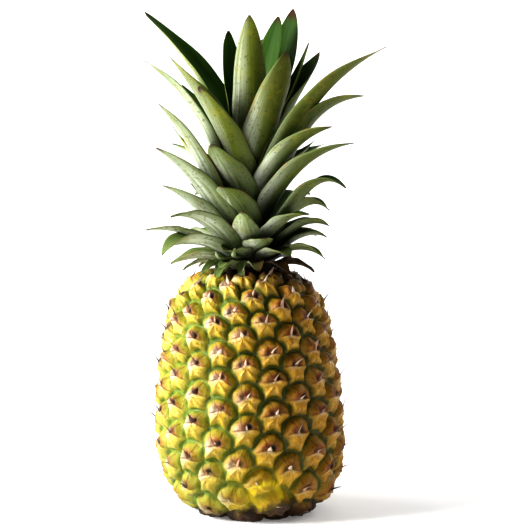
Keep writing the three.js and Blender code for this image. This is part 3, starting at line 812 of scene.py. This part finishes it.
    # Dark brown near the top, reaching lower towards +X.
    shoulder = n.ramp(n.plus(z, n.times(x, 0.24)), 0.158, 0.168)
    colour = n.mix(n.times(shoulder, 0.85), colour, "321d0d")
    bruise = n.distance(place, BRUISE)
    ring = n.math("MAXIMUM", n.hump(bruise, 0.011, 0.003), n.times(n.hump(bruise, 0.0, 0.020), 0.5))
    colour = n.mix(n.times(ring, 0.9), colour, "dcc416")
    # Dark brown round the foot, and over a wider patch low towards +X.
    ragged = n.around(n.noise(place, 120.0, 3.0), 0.016)
    low = n.minus(z, n.times(n.hump(x, 0.020, 0.045), 0.007))
    low_dark_patch = n.ramp(n.plus(n.distance(place, LOW_DARK_PATCH), ragged), 0.019, 0.012)
    foot = n.math("MAXIMUM", n.ramp(n.plus(low, ragged), 0.008, 0.001), low_dark_patch)
    colour = n.mix(n.times(foot, 0.93), colour, n.mix(skin["Mottle"], "1f0f0a", "4e2d13"))

    n.put(shader.inputs["Base Color"], colour)
    rough = n.plus(n.times(skin["Mottle"], 0.14), n.times(upper, 0.16))
    n.put(shader.inputs["Roughness"], n.plus(rough, 0.36))
    shader.inputs["Specular IOR Level"].default_value = 0.35
    shader.inputs["Coat Weight"].default_value = 0.05
    shader.inputs["Coat Roughness"].default_value = 0.3
    shader.inputs["Subsurface Weight"].default_value = 0.08
    shader.inputs["Subsurface Radius"].default_value = (0.004, 0.0025, 0.0008)
    height = n.plus(n.times(skin["Height"], 0.6), n.times(streak, 0.8))
    n.put(shader.inputs["Normal"], n.bump(height, 0.6, 0.0012))
    return material


def dry_tip_material(fibres, freckles):
    """Papery and pale in front, brown at the point, and dark brown at the fruit's two sides."""
    material, n, shader = new_material("papery_bract_tip")
    place = n.place()
    across, along, number = n.attribute("blade")
    lines = n.group(fibres, Across=across, Along=along, Count=5.0, Shift=number)
    spots = n.group(freckles, Place=place, Scale=700.0, Rarity=0.55)
    from_middle = n.math("ABSOLUTE", n.minus(n.split(place)[0], 0.006))
    colour = n.mix(n.ramp(number, 0.2, 0.9), "f3e3cc", "dcb498")
    colour = n.mix(n.times(lines["Lines"], 0.45), colour, "a87449")
    colour = n.mix(n.times(n.ramp(along, 0.55, 1.0), 0.7), colour, "5d3216")
    colour = n.mix(n.times(n.ramp(from_middle, 0.030, 0.048), 0.92), colour, "28150a")
    colour = n.mix(n.times(spots["Blotches"], 0.4), colour, "7a4a22")
    n.put(shader.inputs["Base Color"], colour)
    n.put(shader.inputs["Roughness"], n.plus(n.times(lines["Lines"], 0.2), 0.5))
    n.put(shader.inputs["Normal"], n.bump(lines["Height"], 0.6, 0.0003))
    return material


def leaf_material(name, fibres, freckles, grain, bloom, olive):
    """Underneath, pale bloom of wax in streaks and lines, most of it on the side of -X as painted
    light, and olive towards the tip. Dark green above. Both darker towards +X as painted shade.
    Freckles, a thin worn margin, painted shade over the root, the lowest leaves dark brown on the
    side of +X, and a dry point."""
    material, n, shader = new_material(name)
    place = n.place()
    across, along, upper = n.attribute("blade")
    age, number, _ = n.attribute("leaf_kind")
    x = n.split(place)[0]
    shift = n.times(number, 7.0)
    lines = n.group(fibres, Across=across, Along=along, Count=26.0, Shift=shift)
    streaks = n.group(fibres, Across=across, Along=n.times(along, 0.7), Count=5.0, Shift=shift)
    spots = n.group(freckles, Place=place, Scale=480.0, Rarity=0.6)
    skin = n.group(grain, Place=place, Scale=240.0)

    under = n.mix(n.ramp(along, 0.1, 0.8), "788a50", olive)
    under = n.mix(n.times(skin["Mottle"], 0.45), under, "63742c")
    # Pale bloom of wax in streaks and lines, kept mostly to the side of -X where the key light falls:
    # real bloom with painted light.
    side = n.ramp(n.plus(across, n.times(x, 30.0)), 0.35, -0.9)
    bloom_and_light = n.plus(n.times(lines["Lines"], 0.35), n.times(streaks["Lines"], 0.45))
    bloom_and_light = n.plus(bloom_and_light, n.times(side, 0.12))
    bloom_and_light = n.times(bloom_and_light, n.plus(n.times(side, 1.35), bloom), clamp=True)
    bloom_and_light = n.times(bloom_and_light, n.ramp(along, 1.0, 0.55, 0.25, 1.0))
    under = n.mix(bloom_and_light, under, "dbe2cc")
    # Painted shade: darker olive towards +X.
    under = n.mix(n.ramp(x, -0.002, 0.03, 0.0, 0.45), under, "5b5d26")
    mottled = n.times(spots["Blotches"], n.ramp(along, 0.2, 0.7, 0.12, 0.4))
    under = n.mix(mottled, under, "9a942e")
    under = n.mix(n.times(spots["Freckles"], 0.5), under, "54451c")

    above = n.mix(lines["Lines"], "345617", "4a7120")
    older = n.mix(lines["Lines"], "38461f", "4c6030")
    above = n.mix(n.times(n.ramp(age, 0.45, 0.8), 0.8), above, older)
    above = n.mix(n.times(streaks["Lines"], 0.25), above, "5f7a3c")
    above = n.mix(n.times(n.ramp(age, 0.8, 0.95), 0.6), above, "84935c")
    # Painted shade: darker green towards +X.
    above = n.mix(n.ramp(x, 0.0, 0.02, 0.0, 0.6), above, "24400e")
    above = n.mix(n.times(n.ramp(along, 0.3, 0.0), 0.5), above, "6d8040")

    colour = n.mix(n.ramp(upper, 0.4, 0.6), under, above)
    margin = n.ramp(n.math("ABSOLUTE", across), 0.9, 1.0)
    worn = n.ramp(n.noise(place, 70.0, 2.0), 0.52, 0.66)
    colour = n.mix(n.times(margin, 0.5), colour, n.mix(worn, "6b7a44", "93703a"))
    # The lowest leaves dark brown on the side of +X.
    low_right_brown = n.times(n.ramp(age, 0.96, 0.99), n.ramp(x, -0.012, 0.008))
    colour = n.mix(n.times(low_right_brown, 0.9), colour, n.mix(lines["Lines"], "2a1810", "5f4224"))
    # Painted shade: near black over the root half of each leaf, most towards +X.
    root_shade = n.times(n.ramp(along, 0.52, 0.14), n.ramp(x, -0.012, 0.012, 0.3, 0.97))
    colour = n.mix(root_shade, colour, "1b220c")
    dry_from = n.minus(0.975, n.times(number, 0.04))
    dry = n.ramp(n.plus(along, n.around(skin["Mottle"], 0.03)), dry_from, 1.0)
    colour = n.mix(dry, colour, "46290c")

    n.put(shader.inputs["Base Color"], colour)
    rough = n.plus(n.times(upper, 0.08), n.times(lines["Lines"], 0.08))
    n.put(shader.inputs["Roughness"], n.plus(rough, 0.46))
    n.put(shader.inputs["Specular IOR Level"], n.ramp(upper, 0.4, 0.6, 0.28, 0.1))
    shader.inputs["Coat Weight"].default_value = 0.02
    shader.inputs["Coat Roughness"].default_value = 0.35
    shader.inputs["Subsurface Weight"].default_value = 0.05
    shader.inputs["Subsurface Radius"].default_value = (0.001, 0.002, 0.0005)
    height = n.plus(n.times(lines["Height"], 0.5), n.times(streaks["Height"], 0.8))
    n.put(shader.inputs["Normal"], n.bump(height, 0.5, 0.0009))
    return material


def stem_material(grain, freckles):
    """Dark brown low in the socket and dark green higher up, painted shade deep inside the crown,
    with brown scar blotches.
    """
    material, n, shader = new_material("crown_stem_skin")
    place = n.place()
    skin = n.group(grain, Place=place, Scale=300.0)
    spots = n.group(freckles, Place=place, Scale=300.0, Rarity=0.55)
    # Painted shade: dark brown low in the socket, dark green higher up.
    colour = n.mix(n.ramp(n.split(place)[2], 0.165, 0.2), "2c1a10", "3d4a1e")
    colour = n.mix(n.times(skin["Mottle"], 0.5), colour, "2b2a12")
    colour = n.mix(n.times(spots["Blotches"], 0.5), colour, "6d4c26")
    n.put(shader.inputs["Base Color"], colour)
    shader.inputs["Roughness"].default_value = 0.65
    n.put(shader.inputs["Normal"], n.bump(skin["Height"], 0.6, 0.001))
    return material


# Stage


def make_floor():
    """A pale floor that rises behind in a smooth curve: straight, then a quarter circle, then
    straight up."""
    angle = np.linspace(0, np.pi / 2, FLOOR_STEPS)
    y = FLOOR_DEPTH - FLOOR_BEND + FLOOR_BEND * np.sin(angle)
    y = np.concatenate([[-FLOOR_DEPTH], y, [FLOOR_DEPTH]])
    z = np.concatenate([[0], FLOOR_BEND - FLOOR_BEND * np.cos(angle), [FLOOR_RISE]])
    full = np.ones((len(y), 2))
    x = np.array([-FLOOR_HALF, FLOOR_HALF])
    points = np.stack([x[None] * full, y[:, None] * full, z[:, None] * full], -1) / MM
    material, _, shader = new_material("pale_floor")
    shader.inputs["Base Color"].default_value = (0.93, 0.93, 0.93, 1)
    shader.inputs["Roughness"].default_value = 0.8
    shader.inputs["Emission Color"].default_value = (1, 1, 1, 1)
    shader.inputs["Emission Strength"].default_value = 0.1
    faces = grid_faces(len(y), 2)
    floor = mesh_object("floor", points.reshape(-1, 3), faces, material, inside=None)


def area_light(name, place, size, power, aim=AIM):
    """A square lamp turned towards its aim."""
    data = bpy.data.lights.new(name, "AREA")
    data.energy, data.size = power, size
    lamp = bpy.data.objects.new(name, data)
    lamp.location = place
    lamp.rotation_euler = (Vector(aim) - Vector(place)).to_track_quat("-Z", "Y").to_euler()
    bpy.context.scene.collection.objects.link(lamp)


def make_lights():
    """A large key light on the left, a weak fill, two lamps that whiten the backdrop, and a dim
    world that the camera sees as white."""
    for lamp in LAMPS:
        area_light(*lamp)
    world = bpy.data.worlds.new("studio")
    world.use_nodes = True
    bpy.context.scene.world = world
    n = Nodes(world.node_tree)
    dim = world.node_tree.nodes["Background"]
    dim.inputs[0].default_value = (1, 1, 1, 1)
    dim.inputs[1].default_value = WORLD_STRENGTH
    white = n.add("ShaderNodeBackground", {0: (1.0, 1.0, 1.0, 1.0), 1: 1.0})
    seen = n.add("ShaderNodeLightPath").outputs["Is Camera Ray"]
    both = n.add("ShaderNodeMixShader", {0: seen, 1: dim.outputs[0], 2: white.outputs[0]})
    output = next(node for node in world.node_tree.nodes if node.type == "OUTPUT_WORLD")
    n.put(output.inputs[0], both.outputs[0])


def make_camera():
    """As far from the aim as the photograph's long lens suggests, with a lens that frames its
    width."""
    data = bpy.data.cameras.new("camera")
    data.sensor_width = SENSOR
    data.lens = SENSOR * CAMERA_DISTANCE / (PHOTO_SIDE * MM_PER_PIXEL * MM)
    data.clip_start = 0.05
    camera = bpy.data.objects.new("camera", data)
    back = Vector((0, -np.cos(CAMERA_ELEVATION), np.sin(CAMERA_ELEVATION)))
    camera.location = AIM + back * CAMERA_DISTANCE
    camera.rotation_euler = (-back).to_track_quat("-Z", "Y").to_euler()
    bpy.context.scene.collection.objects.link(camera)
    bpy.context.scene.camera = camera


def place_piece(piece, node):
    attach(piece, BODY)
    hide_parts(node)


def main():
    grain, freckles, fibres = skin_grain_group(), freckle_group(), fibre_group()
    rind, eyes = make_rind(rind_material(grain, freckles))
    place_piece(rind, "fruit")
    place_piece(make_dry_tips(eyes, dry_tip_material(fibres, freckles)), "fruit")
    heart = leaf_material("heart_leaf", fibres, freckles, grain, -0.42, "6c7418")
    outer = leaf_material("outer_leaf", fibres, freckles, grain, 0.22, "6a7a30")
    low = leaf_material("low_leaf", fibres, freckles, grain, 0.55, "80904c")
    for name, rows, material, seed_shift in (
        ("heart_leaves", HEART, heart, 0),
        ("middle_leaves", MIDDLE, outer, 20),
        ("lower_leaves", LOWER, low, 40),
        ("back_leaves", BACK, outer, 60),
        ("collar_leaves", collar_rows(), low, 80),
        ("curls", CURLS, low, 100),
    ):
        place_piece(make_leaves(name, rows, material, seed_shift), "crown")
    place_piece(make_stem(stem_material(grain, freckles)), "crown")
    make_floor()
    make_lights()
    make_camera()
    view = bpy.context.scene.view_settings
    view.view_transform = "Standard"
    view.look = "High Contrast"
    view.exposure = float(np.log2(EXPOSURE_GAIN))


main()
